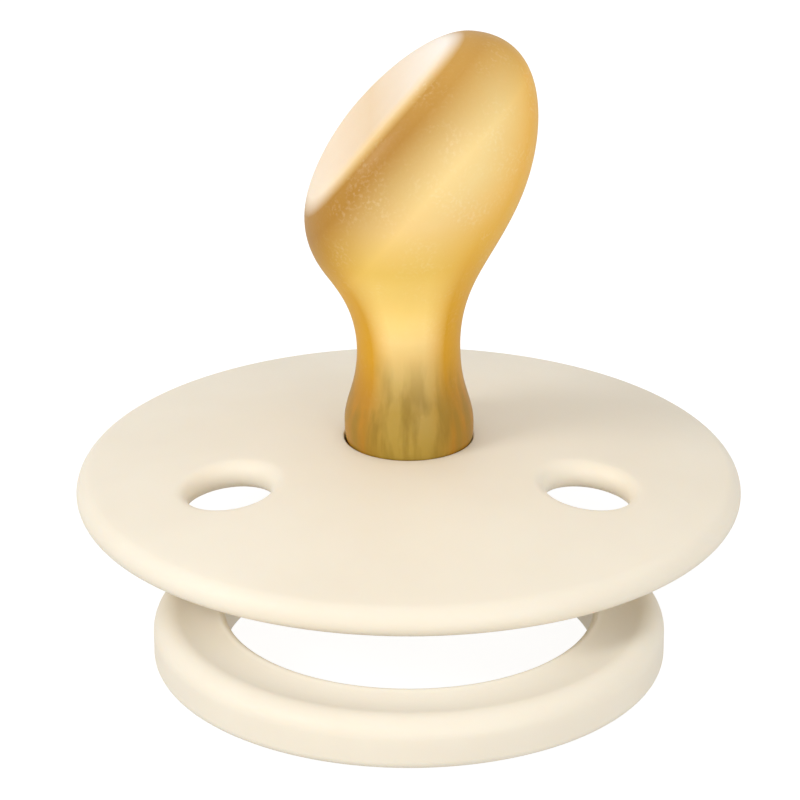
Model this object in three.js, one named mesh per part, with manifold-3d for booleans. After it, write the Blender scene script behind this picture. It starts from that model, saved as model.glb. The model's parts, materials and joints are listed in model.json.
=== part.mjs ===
// Baby's pacifier: a round vented shield, a hollow latex teat with one slanted flat face,
// the plug that clamps the teat, and a knob that holds a swinging ring.
// Millimetres. +Z points to the teat's tip and the ring lies towards -Y.
// The origin is the centre of the knob's flat outer face, on the teat's axis.

import * as THREE from 'three';
import { mergeVertices } from 'three/addons/utils/BufferGeometryUtils.js';
import Module from 'manifold-3d';

const wasm = await Module();
wasm.setup();

const DEG = Math.PI / 180;
const SEAT_GAP = 0.1; // between stacked pieces
const FIT_GAP = 0.15; // between a piece and the bore around it

// Shield: a shallow dome with a full-round rim, bulging towards the teat.
const SHIELD_R = 22;
const SHIELD_THICK = 1.95;
const SHIELD_DOME = 2.65; // how far the rim falls below the centre
const SHIELD_TOP = 9.95; // height of the dome's centre above the knob's outer face
const NECK_HOLE_R = 4.25;
const NECK_HOLE_EDGE = 0.15;
const VENT_R = 2.7;
const VENT_EDGE = 0.9;
const VENT_X = 11.6;
const VENT_Y = -6.1;

// Collar under the shield. It holds the teat's flange, the plug's flange and the knob's legs.
const COLLAR_R = 7.3;
const COLLAR_BORE_R = 5.3;

// Ring: a flat band, dished on top, with a round hinge bar in place of its inner end.
const RING_R = 16.3;
const RING_WIDTH = 4.6;
const RING_THICK = 3.4; // at the inner edge, which is the highest
const RING_FALL = 0.15; // from the inner edge down to the outer lip
const RING_DISH = 0.2;
const RING_LIP = 0.9; // rounding of the outer wall's upper edge
const RING_INNER_EDGE = 0.35;
const RING_FOOT_EDGE = 0.6;
const RING_OUT = 12.3; // from the hinge axis to the ring's own centre
const HINGE_Z = 1.8;
const BAR_R = 1;
const BAR_ROOT = 1.5; // how far the bar runs into the band at each end

// Knob: a round button, grooved for the hinge bar, with two legs that press into the collar.
const KNOB_R = 7.5;
const KNOB_EDGE = 1.4;
const KNOB_TOP = 3.2;
const LEG_SNAP = 0.08;
const KNOB_BEVEL = 0.3; // along the edge that faces the shield
const LEG_BEVEL = 0.4;

// Plug: a flange under the teat's flange, and a hollow stem inside the teat's neck.
const FLANGE_THICK = 1;
const STEM_R = 2.3;
const STEM_BORE_R = 1.1;
const STEM_TIP_EDGE = 0.6;
const STEM_TOP = 6; // above the dome's centre

// Teat, in its own frame: z = 0 at the dome's centre, flat face towards -X.
const TEAT_WALL = 1.05;
const NECK_WAIST_R = 3.36;
const NECK_BULGE_R = 4.28;
const NECK_BULGE_Z = 0.9;
const NECK_FOOT_R = 4.2; // where the neck meets the dome
const NECK_SQUEEZED_R = 4.13; // inside the shield's hole
const NECK_BULGE_LONG = 2.65;
const BULB = {
  x: 0.69,
  z: 19.2,
  long: 9.46,
  deep: 7.1,
  wide: 7.5,
  lean: 38.1 * DEG,
  egg: -0.176, // how much deeper it gets towards the neck
  eggWide: -0.1,
};
const FACE = { slope: 50.5 * DEG, out: 16.22, middle: 14.3, hollow: 0.011 };
const NECK_BLEND = 3.8;
const FACE_BLEND = 1.03; // rounding round the flat face
const CHIN_BLEND = 2.4; // added to it at the face's lower end
const CHIN_REACH = 8; // from the face's middle down to that end
const CROWN_Z = 16.9; // below it points move outward level, above it they fan out
const FLANGE_R = 5.15;

const IVORY = { color: 0xe9dcc4, roughness: 0.55, metalness: 0 };
const LATEX = { color: 0xd09a3e, roughness: 0.35, metalness: 0 };
const CLOUDY = { color: 0xb8ad88, roughness: 0.5, metalness: 0 };

function toSolid(geometry) {
  const bare = geometry.clone();
  bare.deleteAttribute('normal');
  bare.deleteAttribute('uv');
  const merged = mergeVertices(bare, 1e-4);
  return new wasm.Manifold(new wasm.Mesh({
    numProp: 3,
    vertProperties: new Float32Array(merged.attributes.position.array),
    triVerts: new Uint32Array(merged.index.array),
  }));
}

function toGeometry(solid) {
  const mesh = solid.getMesh();
  const geometry = new THREE.BufferGeometry();
  geometry.setAttribute('position', new THREE.BufferAttribute(mesh.vertProperties, 3));
  geometry.setIndex(new THREE.BufferAttribute(mesh.triVerts, 1));
  geometry.computeVertexNormals();
  return geometry;
}

// A LatheGeometry turns about Y, so it is tipped up to turn about Z.
function lathe(outline, segments) {
  const points = outline.map(([r, z]) => new THREE.Vector2(r, z));
  return new THREE.LatheGeometry(points, segments).rotateX(Math.PI / 2);
}

// Points of an arc, from one angle to another, with 0 pointing outward and 90 up.
function arc(r, z, radius, from, to, steps) {
  const points = [];
  for (let i = 0; i <= steps; i += 1) {
    const angle = (from + ((to - from) * i) / steps) * DEG;
    points.push([r + radius * Math.cos(angle), z + radius * Math.sin(angle)]);
  }
  return points;
}

function crossCylinder(radius, length, segments) {
  return new THREE.CylinderGeometry(radius, radius, length, segments).rotateZ(Math.PI / 2);
}

function named(name, geometry, finish) {
  const mesh = new THREE.Mesh(geometry, new THREE.MeshStandardMaterial(finish));
  mesh.name = name;
  return mesh;
}

// Height of the shield's convex face, above the knob's outer face.
function domeHeight(r) {
  return SHIELD_TOP - SHIELD_DOME * (r / SHIELD_R) ** 2;
}

// A spool along the local normal: a round throat that flares at both faces of the shield.
function ventCutter(side) {
  const half = SHIELD_THICK / 2;
  const beyond = half + 1;
  const flare = half - VENT_EDGE;
  const outline = [
    [0, -beyond],
    [VENT_R + VENT_EDGE, -beyond],
    ...arc(VENT_R + VENT_EDGE, -flare, VENT_EDGE, 270, 180, 3),
    ...arc(VENT_R + VENT_EDGE, flare, VENT_EDGE, 180, 90, 3),
    [VENT_R + VENT_EDGE, beyond],
    [0, beyond],
  ];
  const r = Math.hypot(VENT_X, VENT_Y);
  const slope = (2 * SHIELD_DOME * r) / SHIELD_R ** 2;
  const normal = new THREE.Vector3((side * VENT_X * slope) / r, (VENT_Y * slope) / r, 1).normalize();
  const turn = new THREE.Quaternion().setFromUnitVectors(new THREE.Vector3(0, 0, 1), normal);
  const middle = new THREE.Vector3(side * VENT_X, VENT_Y, domeHeight(r)).addScaledVector(normal, -half);
  return lathe(outline, 24).applyQuaternion(turn).translate(middle.x, middle.y, middle.z);
}

function shieldGeometry() {
  const rimRadius = SHIELD_THICK / 2;
  const rimR = SHIELD_R - rimRadius;
  const innerR = NECK_HOLE_R + NECK_HOLE_EDGE;
  const faceSteps = 3;
  const top = [];
  const under = [];
  for (let i = 0; i <= faceSteps; i += 1) {
    const r = innerR + ((rimR - innerR) * i) / faceSteps;
    top.push([r, domeHeight(r)]);
    const back = rimR - ((rimR - COLLAR_R) * i) / faceSteps;
    under.push([back, domeHeight(back) - SHIELD_THICK]);
  }
  const seat = SHIELD_TOP - SHIELD_THICK;
  const foot = KNOB_TOP + FIT_GAP;
  const outline = [
    ...arc(innerR, domeHeight(innerR) - NECK_HOLE_EDGE, NECK_HOLE_EDGE, 180, 110, 3),
    ...top,
    ...arc(rimR, domeHeight(rimR) - rimRadius, rimRadius, 72, -72, 4),
    ...under,
    [COLLAR_R, foot],
    [COLLAR_BORE_R, foot],
    [COLLAR_BORE_R, seat],
    [NECK_HOLE_R, seat],
  ];
  outline.push(outline[0]);
  const blank = toSolid(lathe(outline.reverse(), 64));
  return toGeometry(blank.subtract(toSolid(ventCutter(-1))).subtract(toSolid(ventCutter(1))));
}

// Height of the ring's dished top, from the outer lip at 0 to the inner edge at 1.
function dishHeight(share) {
  const lip = RING_THICK - RING_FALL;
  return lip - 4 * RING_DISH * share * (1 - share) + RING_FALL * share ** 2;
}

// The band's outline around the ring's own centre, from its underside up and over the dish.
function bandOutline() {
  const inner = RING_R - RING_WIDTH;
  const lipR = RING_R - RING_LIP;
  const edgeR = inner + RING_INNER_EDGE;
  const footR = RING_R - RING_FOOT_EDGE;
  const outline = [
    ...arc(footR, RING_FOOT_EDGE, RING_FOOT_EDGE, -90, 0, 3),
    ...arc(lipR, dishHeight(0) - RING_LIP, RING_LIP, 0, 90, 3),
  ];
  const dishSteps = 3;
  for (let i = 1; i < dishSteps; i += 1) {
    const share = i / dishSteps;
    outline.push([lipR + (edgeR - lipR) * share, dishHeight(share)]);
  }
  outline.push(
    ...arc(edgeR, RING_THICK - RING_INNER_EDGE, RING_INNER_EDGE, 90, 180, 2),
    ...arc(inner + RING_FOOT_EDGE, RING_FOOT_EDGE, RING_FOOT_EDGE, 180, 270, 3),
    outline[0],
  );
  return outline;
}

// Built around the hinge axis, which is the ring's origin.
function ringGeometry() {
  const endX = KNOB_R + 2 * FIT_GAP;
  const band = toSolid(lathe(bandOutline(), 64).translate(0, -RING_OUT, -HINGE_Z));
  const notch = toSolid(new THREE.BoxGeometry(2 * endX, RING_R, 2 * RING_THICK));
  const bar = toSolid(crossCylinder(BAR_R, 2 * (endX + BAR_ROOT), 24));
  return toGeometry(band.subtract(notch).add(bar));
}

function knobGeometry() {
  const legR = COLLAR_BORE_R - FIT_GAP;
  const legTop = SHIELD_TOP - SHIELD_THICK - 2 * FLANGE_THICK - 3 * SEAT_GAP;
  const outline = [
    [0, 0],
    ...arc(KNOB_R - KNOB_EDGE, KNOB_EDGE, KNOB_EDGE, 270, 360, 5),
    [KNOB_R, KNOB_TOP - KNOB_BEVEL],
    [KNOB_R - KNOB_BEVEL, KNOB_TOP],
    [legR, KNOB_TOP],
    [legR + LEG_SNAP, (KNOB_TOP + legTop) / 2],
    [legR, legTop - LEG_BEVEL],
    [legR - LEG_BEVEL, legTop],
    [0, legTop],
  ];
  const grooveR = BAR_R + FIT_GAP;
  const acrossKnob = 2 * KNOB_R + 2;
  const seat = crossCylinder(grooveR, acrossKnob, 24).translate(0, 0, HINGE_Z);
  const slot = new THREE.BoxGeometry(acrossKnob, 2 * grooveR, SHIELD_TOP);
  slot.translate(0, 0, HINGE_Z + SHIELD_TOP / 2);
  return toGeometry(toSolid(lathe(outline, 48)).subtract(toSolid(seat)).subtract(toSolid(slot)));
}

function plugGeometry() {
  const flangeTop = SHIELD_TOP - SHIELD_THICK - FLANGE_THICK - 2 * SEAT_GAP;
  const flangeFoot = flangeTop - FLANGE_THICK;
  const stemTop = SHIELD_TOP + STEM_TOP;
  const outline = [
    [STEM_BORE_R, flangeFoot],
    [FLANGE_R, flangeFoot],
    [FLANGE_R, flangeTop],
    [STEM_R, flangeTop],
    ...arc(STEM_R - STEM_TIP_EDGE, stemTop - STEM_TIP_EDGE, STEM_TIP_EDGE, 0, 90, 3),
    [STEM_BORE_R, stemTop],
    [STEM_BORE_R, flangeFoot],
  ];
  return lathe(outline, 36);
}

// The lower of two fields, rounded where they meet.
function smoothMin(a, b, blend) {
  const near = Math.max(blend - Math.abs(a - b), 0) / blend;
  return Math.min(a, b) - (near * near * blend) / 4;
}

function neckRadius(z) {
  if (z < NECK_BULGE_Z) {
    const fall = (NECK_BULGE_R - NECK_FOOT_R) * ((NECK_BULGE_Z - z) / NECK_BULGE_Z) ** 2;
    return Math.max(NECK_BULGE_R - fall, NECK_SQUEEZED_R);
  }
  const swell = Math.exp(-(((z - NECK_BULGE_Z) / NECK_BULGE_LONG) ** 2));
  return NECK_WAIST_R + (NECK_BULGE_R - NECK_WAIST_R) * swell;
}

// About how far a point is outside the teat's bulb: a leaning egg with one face planed flat.
function bulbField(x, y, z, inset) {
  const along = ((x - BULB.x) * Math.sin(BULB.lean) + (z - BULB.z) * Math.cos(BULB.lean)) / BULB.long;
  const across = (x - BULB.x) * Math.cos(BULB.lean) - (z - BULB.z) * Math.sin(BULB.lean);
  const deep = BULB.deep * (1 + BULB.egg * along);
  const wide = BULB.wide * (1 + BULB.eggWide * along);
  return (Math.hypot(along, across / deep, y / wide) - 1) * BULB.deep + inset;
}

// The body cut by the slightly hollow flat face, whose edge is rounder at the chin.
function teatField(x, y, z, neckR, inset) {
  const neck = z < BULB.z ? Math.hypot(x, y) - neckR : Infinity;
  const body = smoothMin(bulbField(x, y, z, inset), neck, NECK_BLEND);
  const out = z * Math.cos(FACE.slope) - x * Math.sin(FACE.slope);
  const along = x * Math.cos(FACE.slope) + z * Math.sin(FACE.slope) - FACE.middle;
  const face = out - FACE.out + FACE.hollow * along ** 2 + inset;
  const chin = Math.max(-along / CHIN_REACH, 0);
  return -smoothMin(-body, -face, FACE_BLEND + CHIN_BLEND * chin ** 2);
}

// A lathed guide, a rod with a round end, whose points move outward to the field's surface.
function teatSkin(foot, segments, neckRows, crownRows, field) {
  const guideR = 1;
  const outline = [[0, foot]];
  for (let i = 0; i < neckRows; i += 1) {
    outline.push([guideR, foot + ((CROWN_Z - foot) * i) / neckRows]);
  }
  outline.push(...arc(0, CROWN_Z, guideR, 0, 90, crownRows));
  outline[outline.length - 1][0] = 0;
  const skin = lathe(outline, segments);
  const spots = skin.attributes.position;
  const point = new THREE.Vector3();
  for (let i = 0; i < spots.count; i += 1) {
    point.fromBufferAttribute(spots, i);
    const root = new THREE.Vector3(0, 0, Math.min(point.z, CROWN_Z));
    const heading = point.clone().sub(root);
    if (heading.length() < guideR / 2) continue;
    let near = 0;
    let far = 20;
    for (let step = 0; step < 30; step += 1) {
      const middle = (near + far) / 2;
      point.copy(root).addScaledVector(heading, middle);
      if (field(point.x, point.y, point.z) < 0) near = middle;
      else far = middle;
    }
    spots.setXYZ(i, point.x, point.y, point.z);
  }
  return skin;
}

function teatGeometry() {
  const flangeTop = -SHIELD_THICK - SEAT_GAP;
  const flangeFoot = flangeTop - FLANGE_THICK;
  const boreR = STEM_R + FIT_GAP;
  const outside = (x, y, z) => teatField(x, y, z, neckRadius(z), 0);
  const inside = (x, y, z) => teatField(x, y, z, boreR, TEAT_WALL);
  const body = toSolid(teatSkin(flangeTop - FLANGE_THICK / 2, 36, 16, 12, outside));
  const hollow = toSolid(teatSkin(flangeFoot - 1, 24, 10, 8, inside));
  const disc = [[0, flangeFoot], [FLANGE_R, flangeFoot], [FLANGE_R, flangeTop], [0, flangeTop]];
  return toGeometry(body.add(toSolid(lathe(disc, 36))).subtract(hollow));
}

const pacifier = new THREE.Group();

pacifier.add(named('shield', shieldGeometry(), IVORY));
pacifier.add(named('knob', knobGeometry(), IVORY));
pacifier.add(named('teat_plug', plugGeometry(), CLOUDY));

const teat = named('teat', teatGeometry(), LATEX);
teat.position.z = SHIELD_TOP;
pacifier.add(teat);

const ring = named('ring', ringGeometry(), IVORY);
ring.position.z = HINGE_Z;
pacifier.add(ring);

export default pacifier;
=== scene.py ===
"""Looks of a baby's pacifier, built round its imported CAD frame.

Lengths are millimetres and become metres where a mesh, a light or the camera is made. +Z runs
from the knob to the teat's tip, the ring lies towards -Y, and the teat's flat face looks
towards -X.
"""

import json
import math

import bmesh
import bpy
import numpy as np
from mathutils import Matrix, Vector
from mathutils.geometry import delaunay_2d_cdt


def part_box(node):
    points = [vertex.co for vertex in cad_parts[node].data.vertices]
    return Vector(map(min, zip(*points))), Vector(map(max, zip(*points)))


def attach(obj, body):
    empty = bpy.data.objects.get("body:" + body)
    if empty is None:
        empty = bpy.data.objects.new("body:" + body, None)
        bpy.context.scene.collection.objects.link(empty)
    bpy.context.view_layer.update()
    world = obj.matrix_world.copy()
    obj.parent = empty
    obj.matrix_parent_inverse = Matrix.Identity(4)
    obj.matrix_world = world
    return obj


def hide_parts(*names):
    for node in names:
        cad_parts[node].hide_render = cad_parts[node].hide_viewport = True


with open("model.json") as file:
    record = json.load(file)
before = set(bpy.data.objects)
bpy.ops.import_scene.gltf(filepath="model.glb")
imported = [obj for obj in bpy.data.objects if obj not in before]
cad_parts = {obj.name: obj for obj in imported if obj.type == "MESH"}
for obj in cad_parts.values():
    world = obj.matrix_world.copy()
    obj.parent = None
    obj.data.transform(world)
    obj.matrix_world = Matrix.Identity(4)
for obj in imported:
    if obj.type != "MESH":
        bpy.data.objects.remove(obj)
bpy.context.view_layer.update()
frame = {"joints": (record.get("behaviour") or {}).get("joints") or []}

MM = 0.001
TAU = 2 * math.pi

# Points of a mesh that are closer than this are one point.
SAME_POINT = 1e-4


def box_mm(node):
    """Lowest and highest corner of a CAD node, in millimetres."""
    low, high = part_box(node)
    return low / MM, high / MM


shield_low, shield_high = box_mm("shield")
ring_low, ring_high = box_mm("ring")
knob_high = box_mm("knob")[1]
plug_low, plug_high = box_mm("teat_plug")

# Shield: a disc that rises by SHIELD_DOME from its rim to DOME_TOP, with a collar underneath.
SHIELD_R = shield_high.x
SHIELD_THICK = 1.95
SHIELD_DOME = 2.65
DOME_TOP = 9.95
RIM = SHIELD_THICK / 2
HOLE_R = 4.25
HOLE_EDGE = 0.1
VENT_R = 2.7
VENT_X = 11.6
VENT_Y = -6.1
COLLAR_R = 7.3
COLLAR_BORE_R = 5.3
COLLAR_FOOT = shield_low.z
COLLAR_FILLET = 0.8
COLLAR_EDGE = 0.25
SEAT = DOME_TOP - SHIELD_THICK

# Ring: its top falls by RING_FALL from the inner edge to the outer lip, with a shallow dish.
RING_R = ring_high.x
RING_WIDTH = 4.6
RING_THICK = 3.4
RING_FALL = 0.15
RING_DISH = 0.2
RING_LIP = 1.3
RING_INNER_EDGE = 0.35
RING_FOOT = 0.6
RING_Y = ring_low.y + RING_R
RING_END_X = 7.8
RING_END_EDGE = 0.2
BAR_R = 1.0
BAR_FILLET = 0.1
HINGE_Z = frame["joints"][0]["pos_m"][2] / MM

# Knob: a button with two legs, which swell by LEG_SNAP halfway up.
KNOB_R = knob_high.y
KNOB_EDGE = 1.4
KNOB_TOP = 3.2
KNOB_TOP_EDGE = 0.4
KNOB_BEVEL = 0.15
KNOB_BEVEL_ANGLE = math.radians(38)
LEG_R = 5.15
LEG_TOP = knob_high.z
LEG_SNAP = 0.08
GROOVE_R = 1.15

# Plug: a hollow stem on a flange as wide as the teat's own.
STEM_R = 2.3
STEM_BORE_R = 1.1
STEM_TOP = plug_high.z
STEM_TIP_EDGE = 0.6
PLUG_EDGE = 0.2
FLANGE_R = 5.15
FLANGE_THICK = 1.0

# Teat, measured upwards from the middle of the shield's dome: a neck and an egg that leans towards
# +X, blended together and then cut off by the sloping face.
TEAT_WALL = 1.05
BORE_R = 2.45
NECK_WAIST_R = 3.36
NECK_BULGE_R = 4.28
NECK_BULGE_Z = 0.9
NECK_FOOT_R = 4.24
NECK_SQUEEZED_R = 4.13
NECK_BULGE_LONG = 2.65
BULB_X = 0.69
BULB_Z = 19.2
BULB_LONG = 9.46
BULB_DEEP = 7.1
BULB_WIDE = 7.5
BULB_LEAN = math.radians(38.1)
BULB_EGG = -0.176
BULB_EGG_WIDE = -0.1
FACE_SLOPE = math.radians(50.5)
FACE_OUT = 16.22
FACE_MIDDLE = 14.3
FACE_HOLLOW = 0.011
NECK_BLEND = 3.8
FACE_BLEND = 1.03
CHIN_BLEND = 2.4
CHIN_REACH = 8.0
CROWN_Z = 16.9
SEAT_GAP = 0.1
FLANGE_TOP = -SHIELD_THICK - SEAT_GAP
FLANGE_FOOT = FLANGE_TOP - FLANGE_THICK
FLANGE_EDGE = 0.25


class Skin:
    """Gathers points and faces, in millimetres, and makes one smooth mesh of them."""

    def __init__(self):
        self.points = []
        self.faces = []
        self.slots = []

    def points_of(self, loop):
        return [self.points[i] for i in loop]

    def loop(self, points):
        """Adds points and returns their numbers."""
        start = len(self.points)
        self.points.extend(tuple(p) for p in points)
        return list(range(start, len(self.points)))

    def band(self, first, second):
        """Four-sided faces all round, between two closed loops of as many points."""
        count = len(first)
        for i in range(count):
            j = (i + 1) % count
            self.faces.append((first[i], first[j], second[j], second[i]))

    def bands(self, rows):
        """Joins each row of points to the next and returns the rows' loops."""
        loops = [self.loop(row) for row in rows]
        for first, second in zip(loops, loops[1:]):
            self.band(first, second)
        return loops

    def fan(self, loop, tip):
        """Three-sided faces from a closed loop to one point."""
        apex = self.loop([tip])[0]
        for i, a in enumerate(loop):
            self.faces.append((a, loop[(i + 1) % len(loop)], apex))

    def patch(self, flat, triangles, lift):
        """Triangles over a plane, each point placed by lift(u, v)."""
        marks = self.loop(lift(u, v) for u, v in flat)
        for triangle in triangles:
            self.faces.append(tuple(marks[i] for i in triangle))

    def make(self, name, sharp=None):
        mesh = bpy.data.meshes.new(name)
        mesh.from_pydata([Vector(p) * MM for p in self.points], [], self.faces)
        if self.slots:
            mesh.polygons.foreach_set("material_index", self.slots)
        weld(mesh, SAME_POINT)
        return place(name, mesh, sharp)


def weld(mesh, gap):
    """Joins points closer than the gap, drops what collapses and turns every face outwards."""
    work = bmesh.new()
    work.from_mesh(mesh)
    bmesh.ops.remove_doubles(work, verts=work.verts, dist=gap * MM)
    bmesh.ops.dissolve_degenerate(work, edges=work.edges, dist=gap * MM / 10)
    bmesh.ops.recalc_face_normals(work, faces=work.faces)
    work.to_mesh(mesh)
    work.free()


def place(name, mesh, sharp=None):
    """A new object of the mesh, shaded smooth up to the sharp angle, in degrees."""
    mesh.shade_smooth()
    if sharp is not None:
        mesh.set_sharp_from_angle(angle=math.radians(sharp))
    piece = bpy.data.objects.new(name, mesh)
    bpy.context.scene.collection.objects.link(piece)
    return piece


def arc(r, z, radius, start, stop, steps):
    """Points of an arc in an outline of (r, z). 0 degrees points outward and 90 up."""
    angles = np.radians(np.linspace(start, stop, steps + 1))
    return [(r + radius * math.cos(a), z + radius * math.sin(a)) for a in angles]


def circle(r, count, x=0.0, y=0.0):
    """Points round a circle in a plane."""
    angles = np.arange(count) * TAU / count
    return np.stack([x + r * np.cos(angles), y + r * np.sin(angles)], axis=1)


def lathe(skin, outline, count):
    """Turns an outline of (r, z) about the upright axis. Points on the axis become tips."""
    loops = []
    for r, z in outline:
        if r < SAME_POINT:
            loops.append((0.0, 0.0, z))
        else:
            loops.append(skin.loop((x, y, z) for x, y in circle(r, count)))
    for first, second in zip(loops, loops[1:]):
        if isinstance(first, tuple):
            skin.fan(second, first)
        elif isinstance(second, tuple):
            skin.fan(first, second)
        else:
            skin.band(first, second)


def triangulate(borders, dots, inside):
    """Delaunay triangles over closed borders and loose dots, kept where inside(x, y) is true."""
    tolerance = 1e-7
    output_type = 0
    flat = [Vector(p) for border in borders for p in border] + [Vector(p) for p in dots]
    edges = []
    start = 0
    for border in borders:
        count = len(border)
        edges += [(start + i, start + (i + 1) % count) for i in range(count)]
        start += count
    points, _, triangles, *_ = delaunay_2d_cdt(flat, edges, [], output_type, tolerance)
    kept = []
    for triangle in triangles:
        middle = sum((points[i] for i in triangle), Vector((0, 0))) / len(triangle)
        if inside(middle.x, middle.y):
            kept.append(triangle)
    return points, kept


# ---------------------------------------------------------------- shield

RIM_COUNT = 192
VENT_COUNT = 72
EDGE_STEPS = 9

# Points within the shield's faces are this far apart.
FACE_GAP = 0.64

# The flat of a face ends where the rounding of the rim and of the vents begins.
PLATE_R = SHIELD_R - RIM
VENT_EDGE_R = VENT_R + RIM
VENTS = ((-VENT_X, VENT_Y), (VENT_X, VENT_Y))


def middle_height(x, y):
    """Height of the surface halfway through the shield's thickness."""
    r = math.hypot(x, y)
    return DOME_TOP - SHIELD_DOME * (r / SHIELD_R) ** 2 - RIM


def half_thickness(x, y):
    """Half the shield's thickness, which rounds off at the rim and at both vents."""
    edge = SHIELD_R - math.hypot(x, y)
    for vent_x, vent_y in VENTS:
        edge = min(edge, math.hypot(x - vent_x, y - vent_y) - VENT_R)
    in_from_edge = min(max(RIM - edge, 0.0), RIM)
    return math.sqrt(RIM**2 - in_from_edge**2)


def near_vent(x, y, r):
    """Whether a point is less than r from the middle of a vent."""
    return any(math.hypot(x - vent_x, y - vent_y) < r for vent_x, vent_y in VENTS)


def plate_triangles(inner_r):
    """The plate between a hole in its middle, the rounded rim and the rounded edges of the vents."""
    borders = [circle(inner_r, RIM_COUNT), circle(PLATE_R, RIM_COUNT)]
    borders += [circle(VENT_EDGE_R, VENT_COUNT, *vent) for vent in VENTS]
    dots = []
    for vent in VENTS:
        dots += list(circle(VENT_EDGE_R + FACE_GAP / 2, VENT_COUNT, *vent))
    for r in np.arange(inner_r + FACE_GAP, PLATE_R - FACE_GAP / 2, FACE_GAP):
        for x, y in circle(r, int(TAU * r / FACE_GAP)):
            if not near_vent(x, y, VENT_EDGE_R + 0.9 * FACE_GAP):
                dots.append((x, y))

    def on_plate(x, y):
        return inner_r < math.hypot(x, y) < PLATE_R and not near_vent(x, y, VENT_EDGE_R)

    return triangulate(borders, dots, on_plate)


def shield_face(skin, side, inner_r):
    """One face of the domed disc, with its half of the rounded rim and vents."""
    def lift(x, y):
        return (x, y, middle_height(x, y) + side * half_thickness(x, y))

    def rounded(centre, r, way, count):
        rows = []
        for turn in np.linspace(0, math.pi / 2, EDGE_STEPS + 1):
            edge_r = r + way * RIM * (1 - math.cos(turn))
            rows.append([lift(x, y) for x, y in circle(edge_r, count, *centre)])
        skin.bands(rows)

    rounded((0, 0), SHIELD_R, -1, RIM_COUNT)
    for vent in VENTS:
        rounded(vent, VENT_R, 1, VENT_COUNT)
    points, triangles = plate_triangles(inner_r)
    skin.patch(points, triangles, lift)


def build_shield():
    """The domed disc with its vents, the teat's hole and the collar that takes the knob's legs."""
    skin = Skin()
    top_r = HOLE_R + HOLE_EDGE
    root_r = COLLAR_R + COLLAR_FILLET
    top_z = middle_height(top_r, 0) + RIM
    under_z = middle_height(root_r, 0) - RIM
    shield_face(skin, 1, top_r)
    shield_face(skin, -1, root_r)
    edge = COLLAR_EDGE
    outline = arc(top_r, top_z - HOLE_EDGE, HOLE_EDGE, 90, 180, 8)
    outline += [(HOLE_R, SEAT), (COLLAR_BORE_R, SEAT)]
    outline += arc(COLLAR_BORE_R + edge, COLLAR_FOOT + edge, edge, 180, 270, 5)
    outline += arc(COLLAR_R - edge, COLLAR_FOOT + edge, edge, 270, 360, 5)
    outline += arc(root_r, under_z - COLLAR_FILLET, COLLAR_FILLET, 180, 90, 8)
    lathe(skin, outline, RIM_COUNT)
    return skin.make("shield_skin", sharp=50)


# ---------------------------------------------------------------- ring

RING_STEPS = 220
BAR_COUNT = 48
DISH_STEPS = 14

# The lip's round runs this many degrees past its top before the dish starts.
LIP_PAST_TOP = 10


def band_outline(inset):
    """The ring's section as (radius, height), shrunk by inset, from the outer wall over the dish."""
    inner = RING_R - RING_WIDTH
    lip_r = RING_R - RING_LIP
    lip_z = RING_THICK - RING_FALL
    past = math.radians(LIP_PAST_TOP)
    outline = arc(lip_r, lip_z - RING_LIP, RING_LIP - inset, 0, 90 + LIP_PAST_TOP, 12)
    crest_r = lip_r - RING_LIP * math.sin(past)
    crest_z = lip_z - RING_LIP * (1 - math.cos(past))
    edge_r = inner + RING_INNER_EDGE
    for share in np.linspace(0, 1, DISH_STEPS + 1)[1:-1]:
        r = crest_r + (edge_r - crest_r) * share
        dip = 4 * RING_DISH * share * (1 - share)
        rise = (RING_THICK - crest_z) * share**2
        outline.append((r, crest_z - dip + rise - inset))
    outline += arc(edge_r, RING_THICK - RING_INNER_EDGE, RING_INNER_EDGE - inset, 70, 180, 7)
    outline += arc(inner + RING_FOOT, RING_FOOT, RING_FOOT - inset, 180, 270, 8)
    outline += arc(RING_R - RING_FOOT, RING_FOOT, RING_FOOT - inset, 270, 360, 10)
    return outline


def cross_section(x, inset):
    """The band's section in the plane at x, on the hinge's side of the ring's centre."""
    side = []
    for r, z in band_outline(inset):
        side.append((x, RING_Y + math.sqrt(r**2 - x**2), z))
    return side


def band_rows():
    """Sections round the band from one straight end face to the other, with their edges rounded."""
    edge = RING_END_EDGE
    turns = np.linspace(0, math.pi / 2, 6)
    ends = [(RING_END_X + edge * (1 - math.cos(a)), edge * (1 - math.sin(a))) for a in turns]
    rows = [cross_section(x, inset) for x, inset in ends]
    outline = band_outline(0)
    for step in range(1, RING_STEPS):
        row = []
        for r, z in outline:
            first = math.asin((RING_END_X + edge) / r)
            turn = first + (TAU - 2 * first) * step / RING_STEPS
            row.append((r * math.sin(turn), RING_Y + r * math.cos(turn), z))
        rows.append(row)
    return rows + [cross_section(-x, inset) for x, inset in reversed(ends)]


def bar_rows():
    """Circles along the hinge bar, with a hollow fillet at each end."""
    half = []
    for turn in np.linspace(0, math.pi / 2, 6):
        x = RING_END_X - BAR_FILLET * (1 - math.cos(turn))
        half.append((x, BAR_R + BAR_FILLET * (1 - math.sin(turn))))
    rows = []
    for x, r in half + [(-x, r) for x, r in reversed(half)]:
        rows.append([(x, y, z) for y, z in circle(r, BAR_COUNT, 0.0, HINGE_Z)])
    return rows


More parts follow.
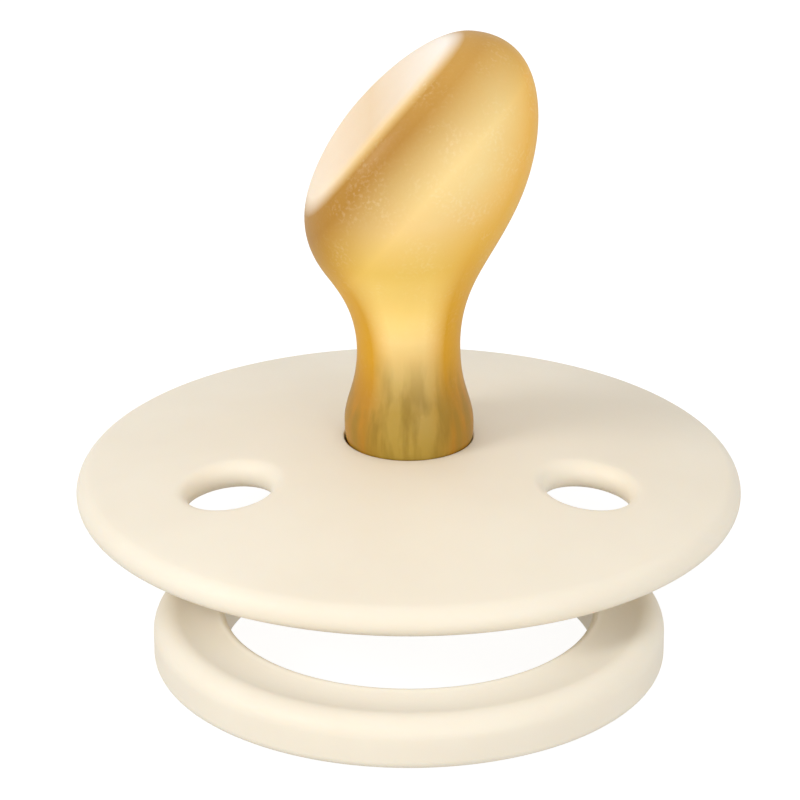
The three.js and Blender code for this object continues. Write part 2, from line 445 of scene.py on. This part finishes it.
def ring_end_test(border, hole_r):
    """A test for points of the ring's end face: inside its border and outside the bar."""
    corners = np.array(border)

    def inside(y, z):
        if math.hypot(y, z - HINGE_Z) < hole_r:
            return False
        ahead = np.roll(corners, -1, axis=0)
        crosses = (corners[:, 1] > z) != (ahead[:, 1] > z)
        rise = np.where(crosses, ahead[:, 1] - corners[:, 1], 1.0)
        at = corners[:, 0] + (z - corners[:, 1]) * (ahead[:, 0] - corners[:, 0]) / rise
        return bool(np.sum(crosses & (y < at)) % 2)

    return inside


def build_ring():
    """A band cut off by two straight end faces, with the hinge bar between them."""
    skin = Skin()
    skin.bands(band_rows())
    end_r = BAR_R + BAR_FILLET
    for side in (1, -1):
        border = [(y, z) for _, y, z in cross_section(side * RING_END_X, RING_END_EDGE)]
        hole = circle(end_r, BAR_COUNT, 0.0, HINGE_Z)
        inside = ring_end_test(border, end_r)
        points, triangles = triangulate([border, hole], [], inside)
        skin.patch(points, triangles, lambda y, z: (side * RING_END_X, y, z))
    skin.bands(bar_rows())
    return skin.make("ring_skin", sharp=60)


# ---------------------------------------------------------------- knob and plug

KNOB_COUNT = 144
PLUG_COUNT = 96
GROOVE_STEPS = 32

# The cut leaves slivers along its seams. Points closer than this are joined after it.
KNOB_SEAM = 2e-3


def build_groove():
    """A cutter along the hinge axis, round below, open upwards and longer than the knob is wide."""
    spare = 1
    reach = (KNOB_R + spare) * MM
    outline = [(GROOVE_R * math.cos(a), HINGE_Z + GROOVE_R * math.sin(a))
               for a in np.linspace(-math.pi, 0, GROOVE_STEPS + 1)]
    outline += [(GROOVE_R, LEG_TOP + spare), (-GROOVE_R, LEG_TOP + spare)]
    mesh = bpy.data.meshes.new("groove")
    work = bmesh.new()
    ends = []
    for x in (-reach, reach):
        ends.append([work.verts.new((x, y * MM, z * MM)) for y, z in outline])
    count = len(outline)
    for i in range(count):
        j = (i + 1) % count
        work.faces.new((ends[0][i], ends[0][j], ends[1][j], ends[1][i]))
    work.faces.new(ends[0])
    work.faces.new(ends[1])
    bmesh.ops.recalc_face_normals(work, faces=work.faces)
    work.to_mesh(mesh)
    work.free()
    return place("groove", mesh)


def build_knob_blank():
    """The knob before its groove is cut: a button with one round boss that becomes its two legs."""
    skin = Skin()
    flat_r = KNOB_R - KNOB_EDGE
    rest_r = 0.75 * flat_r
    edge = KNOB_TOP_EDGE
    outline = [(0, 0), (rest_r, 0)]
    outline += arc(flat_r, KNOB_EDGE, KNOB_EDGE, 270, 360, 12)
    outline += arc(KNOB_R - edge, KNOB_TOP - edge, edge, 0, 90, 6)
    outline += [(LEG_R, KNOB_TOP), (LEG_R + LEG_SNAP, (KNOB_TOP + LEG_TOP) / 2)]
    outline += arc(LEG_R - edge, LEG_TOP - edge, edge, 0, 90, 6)
    outline += [(0, LEG_TOP)]
    lathe(skin, outline, KNOB_COUNT)
    return skin.make("knob_blank")


def build_knob():
    """The button with its round boss split into two legs by the groove, all edges eased."""
    blank = build_knob_blank()
    tool = build_groove()
    cut = blank.modifiers.new("groove", "BOOLEAN")
    cut.operation = "DIFFERENCE"
    cut.solver = "EXACT"
    cut.object = tool
    soften = blank.modifiers.new("soften", "BEVEL")
    soften.width = KNOB_BEVEL * MM
    soften.segments = 3
    soften.limit_method = "ANGLE"
    soften.angle_limit = KNOB_BEVEL_ANGLE
    bpy.context.view_layer.update()
    seen = blank.evaluated_get(bpy.context.evaluated_depsgraph_get())
    mesh = bpy.data.meshes.new_from_object(seen)
    weld(mesh, KNOB_SEAM)
    for scrap in (blank, tool):
        bpy.data.objects.remove(scrap)
    return place("knob_skin", mesh, sharp=50)


def build_plug():
    """A hollow stem on a round flange, which holds the teat's foot in the collar."""
    skin = Skin()
    edge = PLUG_EDGE
    tip_edge = STEM_TIP_EDGE
    foot = plug_low.z
    top = foot + FLANGE_THICK
    outline = [(STEM_BORE_R, foot)]
    outline += arc(FLANGE_R - edge, foot + edge, edge, 270, 360, 5)
    outline += arc(FLANGE_R - edge, top - edge, edge, 0, 90, 5)
    outline += arc(STEM_R + edge, top + edge, edge, 270, 180, 5)
    outline += arc(STEM_R - tip_edge, STEM_TOP - tip_edge, tip_edge, 0, 90, 8)
    outline += arc(STEM_BORE_R + edge, STEM_TOP - edge, edge, 90, 180, 5)
    outline += [(STEM_BORE_R, foot)]
    lathe(skin, outline, PLUG_COUNT)
    return skin.make("plug_skin", sharp=50)


# ---------------------------------------------------------------- teat

TEAT_COUNT = 208
TEAT_ROWS = 96
HOLLOW_NECK_ROWS = 60
HOLLOW_CROWN_ROWS = 48

# A ray from the teat's axis meets the surface within this length, found by halving it.
TEAT_REACH = 20.0
HALVINGS = 30


def smooth_min(a, b, blend):
    """The lower of two fields, rounded where they meet."""
    near = np.maximum(blend - np.abs(a - b), 0) / blend
    return np.minimum(a, b) - near * near * blend / 4


def neck_radius(z):
    """The neck's radius, which swells just above the shield and is squeezed in its hole."""
    below = (NECK_BULGE_Z - z) / NECK_BULGE_Z
    above = (z - NECK_BULGE_Z) / NECK_BULGE_LONG
    low = NECK_BULGE_R - (NECK_BULGE_R - NECK_FOOT_R) * below**4
    high = NECK_WAIST_R + (NECK_BULGE_R - NECK_WAIST_R) * np.exp(-(above**2))
    return np.where(z < NECK_BULGE_Z, np.maximum(low, NECK_SQUEEZED_R), high)


def bulb_field(p, inset):
    """About how far points are outside a leaning egg."""
    across_x, z = p[:, 0] - BULB_X, p[:, 2] - BULB_Z
    along = (across_x * math.sin(BULB_LEAN) + z * math.cos(BULB_LEAN)) / BULB_LONG
    across = across_x * math.cos(BULB_LEAN) - z * math.sin(BULB_LEAN)
    deep = BULB_DEEP * (1 + BULB_EGG * along)
    wide = BULB_WIDE * (1 + BULB_EGG_WIDE * along)
    return (np.sqrt(along**2 + (across / deep) ** 2 + (p[:, 1] / wide) ** 2) - 1) * BULB_DEEP + inset


def teat_field(p, neck_r, inset):
    """About how far points are outside the teat, a body cut by a flat face that is slightly hollow."""
    neck = np.where(p[:, 2] < BULB_Z, np.hypot(p[:, 0], p[:, 1]) - neck_r(p[:, 2]), np.inf)
    body = smooth_min(bulb_field(p, inset), neck, NECK_BLEND)
    out = p[:, 2] * math.cos(FACE_SLOPE) - p[:, 0] * math.sin(FACE_SLOPE)
    along = p[:, 0] * math.cos(FACE_SLOPE) + p[:, 2] * math.sin(FACE_SLOPE) - FACE_MIDDLE
    face = out - FACE_OUT + FACE_HOLLOW * along**2 + inset
    chin = np.maximum(-along / CHIN_REACH, 0)
    return -smooth_min(-body, -face, FACE_BLEND + CHIN_BLEND * chin**2)


def teat_rows(foot, neck_rows, crown_rows, neck_r, inset):
    """Closed loops up the teat's surface, from foot to just under the crown's tip, and the tip."""
    stations = [(z, 0.0) for z in np.linspace(foot, CROWN_Z, neck_rows)]
    stations += [(CROWN_Z, a) for a in np.linspace(0, math.pi / 2, crown_rows + 1)[1:]]
    turns = np.arange(TEAT_COUNT) * TAU / TEAT_COUNT
    rows = []
    for z, rise in stations:
        root = np.array([0.0, 0.0, z])
        level = np.stack([np.cos(turns), np.sin(turns)], axis=1) * math.cos(rise)
        heading = np.column_stack([level, np.full(TEAT_COUNT, math.sin(rise))])
        near, far = np.zeros(TEAT_COUNT), np.full(TEAT_COUNT, TEAT_REACH)
        for _ in range(HALVINGS):
            middle = (near + far) / 2
            inside = teat_field(root + heading * middle[:, None], neck_r, inset) < 0
            near = np.where(inside, middle, near)
            far = np.where(inside, far, middle)
        rows.append(root + heading * near[:, None] + np.array([0, 0, DOME_TOP]))
    return rows[:-1], rows[-1][0]


def hollow_radius(z):
    """The radius of the neck's bore, which is the same all the way up."""
    return np.full_like(z, BORE_R)


def build_teat():
    """The outside, in the first material, and the hollow inside, in the second."""
    skin = Skin()
    edge = FLANGE_EDGE
    foot, top = FLANGE_FOOT + DOME_TOP, FLANGE_TOP + DOME_TOP
    outer, outer_tip = teat_rows(FLANGE_TOP + edge, TEAT_ROWS, TEAT_ROWS, neck_radius, 0.0)
    inner, inner_tip = teat_rows(
        FLANGE_FOOT, HOLLOW_NECK_ROWS, HOLLOW_CROWN_ROWS, hollow_radius, TEAT_WALL)
    flange = arc(FLANGE_R - edge, foot + edge, edge, 270, 360, 5)
    flange += arc(FLANGE_R - edge, top - edge, edge, 0, 90, 5)
    flange += arc(NECK_SQUEEZED_R + edge, top + edge, edge, 270, 180, 4)[:-1]
    flange_rows = [[(x, y, z) for x, y in circle(r, TEAT_COUNT)] for r, z in flange]
    inner_loops = skin.bands(inner[::-1])
    skin.fan(inner_loops[0], inner_tip)
    inside = len(skin.faces)
    outer_loops = skin.bands([skin.points_of(inner_loops[-1])] + flange_rows + outer)
    skin.fan(outer_loops[-1], outer_tip)
    skin.slots = [1] * inside + [0] * (len(skin.faces) - inside)
    return skin.make("teat_skin", sharp=60)


# ---------------------------------------------------------------- materials

# How brightly the floor and the sky light the object, and how white the camera sees them.
FLOOR_LIGHT = 0.42
FLOOR_WHITE = 0.88
SKY_LIGHT = 0.79
SKY_WHITE = 1.1


class Nodes:
    """Short names for adding and joining shader nodes."""

    def __init__(self, name):
        self.material = bpy.data.materials.new(name)
        self.material.use_nodes = True
        self.tree = self.material.node_tree
        self.tree.nodes.clear()

    def add(self, kind, **values):
        node = self.tree.nodes.new(kind)
        for key, value in values.items():
            setattr(node, key, value)
        return node

    def join(self, source, target):
        self.tree.links.new(source, target)

    def settings(self, node, values):
        """Sets a node's inputs by name."""
        for name, value in values.items():
            node.inputs[name].default_value = value

    def noise(self, coordinates, scale, detail):
        """Cloudy noise from 0 to 1, finer with a greater scale."""
        node = self.add("ShaderNodeTexNoise")
        node.inputs["Scale"].default_value = scale
        node.inputs["Detail"].default_value = detail
        self.join(coordinates, node.inputs["Vector"])
        return node.outputs["Fac"]

    def spread(self, value, low, high, to_low=0.0, to_high=1.0):
        """Stretches low..high to to_low..to_high and clamps it."""
        node = self.add("ShaderNodeMapRange")
        limits = {"From Min": low, "From Max": high, "To Min": to_low, "To Max": to_high}
        self.settings(node, limits)
        self.join(value, node.inputs["Value"])
        return node.outputs["Result"]

    def math(self, operation, first, second):
        """The result of an operation on two values, each a number or a socket."""
        node = self.add("ShaderNodeMath", operation=operation)
        for socket, value in zip(node.inputs, (first, second)):
            if isinstance(value, (int, float)):
                socket.default_value = value
            else:
                self.join(value, socket)
        return node.outputs[0]

    def mix(self, share, first, second):
        """A colour between first and second."""
        node = self.add("ShaderNodeMix", data_type="RGBA")
        sockets = (node.inputs[0], node.inputs[6], node.inputs[7])
        for socket, value in zip(sockets, (share, first, second)):
            if hasattr(value, "is_linked"):
                self.join(value, socket)
            else:
                socket.default_value = value
        return node.outputs[2]

    def facing(self):
        """0 where a surface looks at the viewer, near 1 where it is seen edge on."""
        node = self.add("ShaderNodeLayerWeight")
        node.inputs["Blend"].default_value = 0.5
        return node.outputs["Facing"]

    def dot(self, vector, direction):
        """How far a vector reaches along a fixed direction."""
        node = self.add("ShaderNodeVectorMath", operation="DOT_PRODUCT")
        self.join(vector, node.inputs[0])
        node.inputs[1].default_value = direction
        return node.outputs["Value"]

    def round_from_viewer(self):
        """0 where an upright surface is level with the viewer, 1 where it is turned a quarter away."""
        here = self.add("ShaderNodeNewGeometry")
        level = []
        for name in ("Normal", "Incoming"):
            flat = self.add("ShaderNodeVectorMath", operation="NORMALIZE")
            self.join(self.stretch(here.outputs[name], (1, 1, 0)), flat.inputs[0])
            level.append(flat.outputs[0])
        meet = self.add("ShaderNodeVectorMath", operation="DOT_PRODUCT")
        self.join(level[0], meet.inputs[0])
        self.join(level[1], meet.inputs[1])
        return self.math("SUBTRACT", 1, meet.outputs["Value"])

    def stretch(self, vector, factors):
        """A vector with each of its parts multiplied."""
        node = self.add("ShaderNodeVectorMath", operation="MULTIPLY")
        self.join(vector, node.inputs[0])
        node.inputs[1].default_value = factors
        return node.outputs[0]

    def blend(self, share, first, second):
        """A number between first and second."""
        node = self.add("ShaderNodeMix", data_type="FLOAT")
        for socket, value in zip(node.inputs, (share, None, first, second)):
            if value is not None:
                self.join(value, socket)
        return node.outputs[0]

    def between(self, share, first, second):
        """A shader between first and second."""
        node = self.add("ShaderNodeMixShader")
        for socket, value in zip(node.inputs, (share, first, second)):
            self.join(value, socket)
        return node.outputs[0]

    def one_sided(self, shader):
        """The shader on the outer side of faces, and nothing at all on their inner side."""
        clear = self.add("ShaderNodeBsdfTransparent")
        inner_side = self.add("ShaderNodeNewGeometry").outputs["Backfacing"]
        return self.between(inner_side, shader, clear.outputs[0])

    def ramp(self, value, stops):
        """A colour that runs through the stops, each a position from 0 to 1 and a linear colour."""
        node = self.add("ShaderNodeValToRGB")
        self.join(value, node.inputs["Fac"])
        marks = node.color_ramp.elements
        marks[0].position, marks[0].color = stops[0]
        marks[-1].position, marks[-1].color = stops[-1]
        for position, colour in stops[1:-1]:
            marks.new(position).color = colour
        return node.outputs["Color"]

    def bump(self, height, strength, distance_mm):
        """A surface's direction, tilted as if the height stood out from it."""
        node = self.add("ShaderNodeBump")
        node.inputs["Strength"].default_value = strength
        node.inputs["Distance"].default_value = distance_mm * MM
        self.join(height, node.inputs["Height"])
        return node.outputs["Normal"]

    def finish(self, shader):
        """Makes the shader the material's surface."""
        out = self.add("ShaderNodeOutputMaterial")
        self.join(shader, out.inputs["Surface"])
        return self.material


def linear(red, green, blue):
    """A linear colour with alpha from sRGB values of 0 to 255."""
    def channel(value):
        value /= 255
        return value / 12.92 if value <= 0.04045 else ((value + 0.055) / 1.055) ** 2.4
    return (channel(red), channel(green), channel(blue), 1.0)


def moulded_plastic(name, light, dark, roughness):
    """Matt moulded plastic: faint clouding, a fine spark-eroded grain and a little translucency.

    Its noise is laid out in metres, so the scales are per metre.
    """
    n = Nodes(name)
    spot = n.add("ShaderNodeTexCoord").outputs["Object"]
    clouds = n.noise(spot, 90, 3)
    grain = n.noise(spot, 5200, 2)
    colour = n.mix(n.spread(clouds, 0.35, 0.65), dark, light)
    surface = n.add("ShaderNodeBsdfPrincipled")
    n.settings(surface, {
        "IOR": 1.49,
        "Specular IOR Level": 0.35,
        "Subsurface Weight": 0.35,
        "Subsurface Radius": (1.0, 0.8, 0.55),
        "Subsurface Scale": 0.9 * MM,
    })
    n.join(colour, surface.inputs["Base Color"])
    polish = n.spread(grain, 0.3, 0.7, roughness + 0.06, roughness - 0.04)
    n.join(polish, surface.inputs["Roughness"])
    n.join(n.bump(grain, 0.25, 0.012), surface.inputs["Normal"])
    return n.finish(surface.outputs[0])


def on_teat(n):
    """Where a point is on the teat, in millimetres.

    Returns the point, its height over the dome and its depth under the flat face.
    """
    scaled = n.add("ShaderNodeVectorMath", operation="SCALE")
    scaled.inputs["Scale"].default_value = 1 / MM
    n.join(n.add("ShaderNodeTexCoord").outputs["Object"], scaled.inputs[0])
    spot = scaled.outputs[0]
    height = n.math("SUBTRACT", n.dot(spot, (0, 0, 1)), DOME_TOP)
    sine, cosine = math.sin(FACE_SLOPE), math.cos(FACE_SLOPE)
    out = n.math("SUBTRACT", n.dot(spot, (-sine, 0, cosine)), DOME_TOP * cosine + FACE_OUT)
    along = n.math("SUBTRACT", n.dot(spot, (cosine, 0, sine)), DOME_TOP * sine + FACE_MIDDLE)
    hollow = n.math("MULTIPLY", n.math("MULTIPLY", along, along), FACE_HOLLOW)
    depth = n.math("MULTIPLY", n.math("ADD", out, hollow), -1)
    return spot, height, depth


def latex_edge(n, height, facing):
    """0 where the teat's wall is seen square on, 1 where it is seen edge on."""
    neck = n.spread(n.round_from_viewer(), 0.05, 0.28)
    bulb = n.spread(facing, 0.16, 0.62)
    return n.blend(n.spread(height, 12.4, 17.4), neck, bulb)


def latex_colour(n, height, depth, facing, edge):
    """Pale yellow square on, golden edge on, and a brown band of painted shade along the crease under
    the flat face.

    The flat face itself turns pale when it is seen at a low angle: a painted reflection.
    """
    share = n.spread(height, 0, 20)
    square_on = n.ramp(share, (
        (0.0, linear(192, 160, 66)), (0.15, linear(198, 164, 74)), (0.27, linear(226, 194, 118)),
        (0.39, linear(244, 214, 140)), (0.52, linear(240, 208, 117)), (0.68, linear(231, 197, 98)),
        (0.86, linear(240, 208, 138)), (1.0, linear(241, 214, 146))))
    edge_on = n.ramp(share, (
        (0.0, linear(166, 114, 12)), (0.17, linear(178, 124, 16)), (0.31, linear(208, 152, 18)),
        (0.52, linear(220, 164, 26)), (0.77, linear(232, 180, 58)), (1.0, linear(238, 184, 72))))
    colour = n.mix(edge, square_on, edge_on)
    # Painted shade: a brown band along the crease under the flat face, lighter towards the tip.
    dark = n.mix(n.spread(height, 23, 28), linear(170, 119, 33), linear(194, 146, 66))
    crease_shade_share = n.spread(depth, 1.4, 5.0, 0.95, 0)
    colour = n.mix(crease_shade_share, colour, dark)
    # Painted reflection: the flat face turns pale at a low angle, paler again near the tip.
    painted_reflection = n.ramp(n.spread(height, 17.5, 27.5), (
        (0.0, linear(250, 232, 206)), (0.22, linear(248, 226, 196)), (0.5, linear(238, 211, 172)),
        (0.9, linear(250, 240, 226)), (1.0, linear(252, 246, 236))))
    low_angle = n.spread(facing, 0.3, 0.7)
    face = n.mix(low_angle, linear(238, 204, 136), painted_reflection)
    on_face = n.spread(depth, 0.15, 0.6, 1, 0)
    return n.mix(on_face, colour, face)


def mottled(n, spot, height, colour, bump_and_glint_noise):
    """Cloudy patches, clusters of small pale painted glints, and dull streaks up the neck."""
    clouds = n.noise(spot, 0.16, 3)
    clusters = n.noise(spot, 0.4, 2)
    streaks = n.noise(n.stretch(spot, (1, 1, 0.2)), 0.9, 3)
    on_bulb = n.spread(height, 6, 14, 0.15, 1)
    low_on_neck = n.spread(height, 2.5, 7, 1, 0)
    colour = n.mix(n.spread(clouds, 0.35, 0.65, 0, 0.1), colour, linear(222, 176, 96))
    in_cluster = n.spread(clusters, 0.46, 0.66, 0.02, 0.18)
    pale = n.math("MULTIPLY", n.spread(bump_and_glint_noise, 0.5, 0.75), in_cluster)
    # Painted glints: small pale marks in clusters, mostly on the bulb.
    colour = n.mix(n.math("MULTIPLY", pale, on_bulb), colour, linear(255, 246, 215))
    dull = n.math("MULTIPLY", n.spread(streaks, 0.42, 0.6, 0, 0.65), low_on_neck)
    return n.mix(dull, colour, linear(146, 116, 34))


def latex_painted_glow(n, height):
    """The colour of a painted glow that stands in for light coming through the wall, strongest just
    over the neck.
    """
    return n.ramp(n.spread(height, 0, 20), (
        (0.0, (0, 0, 0, 1)), (0.32, (0, 0, 0, 1)), (0.47, (1, 0.72, 0.28, 1)),
        (0.64, (1, 0.68, 0.2, 1)), (0.87, (0.2, 0.14, 0.05, 1)), (1.0, (0.1, 0.07, 0.03, 1))))


def latex(name):
    """Cloudy natural latex. Near the shield the neck lets the plug's stem show through."""
    n = Nodes(name)
    spot, height, depth = on_teat(n)
    facing = n.facing()
    edge = latex_edge(n, height, facing)
    bump_and_glint_noise = n.noise(spot, 4.5, 3)

    surface = n.add("ShaderNodeBsdfPrincipled")
    n.settings(surface, {
        "Roughness": 0.42,
        "IOR": 1.47,
        "Specular IOR Level": 0.3,
        "Subsurface Weight": 0.2,
        "Subsurface Radius": (1.0, 0.7, 0.4),
        "Subsurface Scale": 1.0 * MM,
    })
    colour = latex_colour(n, height, depth, facing, edge)
    n.join(mottled(n, spot, height, colour, bump_and_glint_noise), surface.inputs["Base Color"])
    n.join(n.bump(bump_and_glint_noise, 0.35, 0.02), surface.inputs["Normal"])
    # Painted glow: emission stands in for light that comes through the wall, strongest where the wall
    # is seen square on.
    n.join(latex_painted_glow(n, height), surface.inputs["Emission Color"])
    n.join(n.spread(edge, 0, 1, 0.11, 0.0), surface.inputs["Emission Strength"])

    clear = n.add("ShaderNodeBsdfTransparent")
    clear.inputs["Color"].default_value = linear(255, 236, 180)
    thin_neck = n.spread(height, 3.9, 8.9, 0.28, 0)
    square_on = n.spread(edge, 0, 1, 1, 0)
    see_through = n.math("MULTIPLY", thin_neck, square_on)
    skin = n.between(see_through, surface.outputs[0], clear.outputs[0])
    return n.finish(n.one_sided(skin))


def latex_hollow(name):
    """The teat's inside, which is seen through the near wall and is clear from within the latex."""
    n = Nodes(name)
    spot, height, _ = on_teat(n)
    clouds = n.noise(spot, 0.3, 3)
    colour = n.mix(clouds, linear(250, 214, 128), linear(240, 196, 100))
    surface = n.add("ShaderNodeBsdfPrincipled")
    # Painted glow: emission stands in for light that comes in through the walls, stronger higher up.
    n.settings(surface, {"Roughness": 0.4, "Emission Color": linear(250, 208, 110)})
    n.join(colour, surface.inputs["Base Color"])
    n.join(n.spread(height, 2, 12, 0.1, 0.35), surface.inputs["Emission Strength"])
    return n.finish(n.one_sided(surface.outputs[0]))


def floor_paint():
    """A white floor that glows, so that shadows on it stay faint. It is clear from underneath."""
    n = Nodes("studio_floor")
    matt = n.add("ShaderNodeBsdfDiffuse")
    matt.inputs["Color"].default_value = (0.25, 0.25, 0.25, 1)
    glow = n.add("ShaderNodeEmission")
    seen = n.add("ShaderNodeLightPath").outputs["Is Camera Ray"]
    n.join(n.spread(seen, 0, 1, FLOOR_LIGHT, FLOOR_WHITE), glow.inputs["Strength"])
    both = n.add("ShaderNodeAddShader")
    n.join(matt.outputs[0], both.inputs[0])
    n.join(glow.outputs[0], both.inputs[1])
    return n.finish(n.one_sided(both.outputs[0]))


# ---------------------------------------------------------------- stage, light and camera

FLOOR_REACH = 800
FLOOR_CELLS = 16
FLOOR_DROP = 0.08
LAMP_AIM = (0, 0, 10)
CAMERA_AT = (-0.57, -242.7, 114.35)
CAMERA_TILT = math.radians(22.8)


def build_floor():
    """A wide floor, a hair below the knob so that the two faces do not share a plane."""
    mesh = bpy.data.meshes.new("floor")
    work = bmesh.new()
    bmesh.ops.create_grid(
        work, x_segments=FLOOR_CELLS, y_segments=FLOOR_CELLS, size=FLOOR_REACH * MM)
    work.to_mesh(mesh)
    work.free()
    floor = bpy.data.objects.new("floor", mesh)
    floor.location.z = -FLOOR_DROP * MM
    bpy.context.scene.collection.objects.link(floor)
    mesh.materials.append(floor_paint())


def add_softbox(name, size, watts, place_at):
    """A round soft lamp, aimed at the top of the shield's dome."""
    light = bpy.data.lights.new(name, "AREA")
    light.shape = "DISK"
    light.size = size * MM
    light.energy = watts
    lamp = bpy.data.objects.new(name, light)
    lamp.location = Vector(place_at) * MM
    lamp.rotation_euler = (Vector(LAMP_AIM) - Vector(place_at)).to_track_quat("-Z", "Y").to_euler()
    bpy.context.scene.collection.objects.link(lamp)


def light_stage():
    """Even white light all round, a key from the left and a fill from the front right."""
    world = bpy.data.worlds.new("studio")
    world.use_nodes = True
    nodes, links = world.node_tree.nodes, world.node_tree.links
    seen = nodes.new("ShaderNodeLightPath")
    strength = nodes.new("ShaderNodeMapRange")
    strength.inputs["To Min"].default_value = SKY_LIGHT
    strength.inputs["To Max"].default_value = SKY_WHITE
    links.new(seen.outputs["Is Camera Ray"], strength.inputs["Value"])
    sky = nodes["Background"]
    sky.inputs["Color"].default_value = (1, 1, 1, 1)
    links.new(strength.outputs["Result"], sky.inputs["Strength"])
    bpy.context.scene.world = world
    add_softbox("key", 250, 1.6, (-480, -280, 360))
    add_softbox("fill", 350, 1.2, (300, -580, 170))
    bpy.context.scene.view_settings.view_transform = "Standard"


def add_camera():
    """The photograph's view: a long lens from the front, tilted down onto the shield."""
    camera = bpy.data.cameras.new("camera")
    camera.lens = 180
    camera.sensor_width = 36
    camera.clip_start = 10 * MM
    body = bpy.data.objects.new("camera", camera)
    body.location = Vector(CAMERA_AT) * MM
    body.rotation_euler = (math.pi / 2 - CAMERA_TILT, 0, 0)
    bpy.context.scene.collection.objects.link(body)
    bpy.context.scene.camera = body


def dress(piece, body, node, slot, *materials):
    """Puts a finished piece on its CAD body, with its materials, in place of its plain CAD node. The
    slot argument is not used.
    """
    for material in materials:
        piece.data.materials.append(material)
    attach(piece, body)
    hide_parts(node)


ivory = moulded_plastic("ivory_plastic", linear(236, 227, 209), linear(233, 223, 204), 0.5)
cloudy = moulded_plastic("plug_plastic", linear(176, 160, 110), linear(160, 144, 96), 0.45)
amber = latex("amber_latex")
amber_hollow = latex_hollow("amber_latex_hollow")

dress(build_shield(), "shield_body", "shield", "ivory_plastic", ivory)
dress(build_knob(), "shield_body", "knob", "ivory_plastic", ivory)
dress(build_ring(), "ring_body", "ring", "ivory_plastic", ivory)
dress(build_teat(), "shield_body", "teat", "amber_latex", amber, amber_hollow)
dress(build_plug(), "shield_body", "teat_plug", "plug_plastic", cloudy)

build_floor()
light_stage()
add_camera()
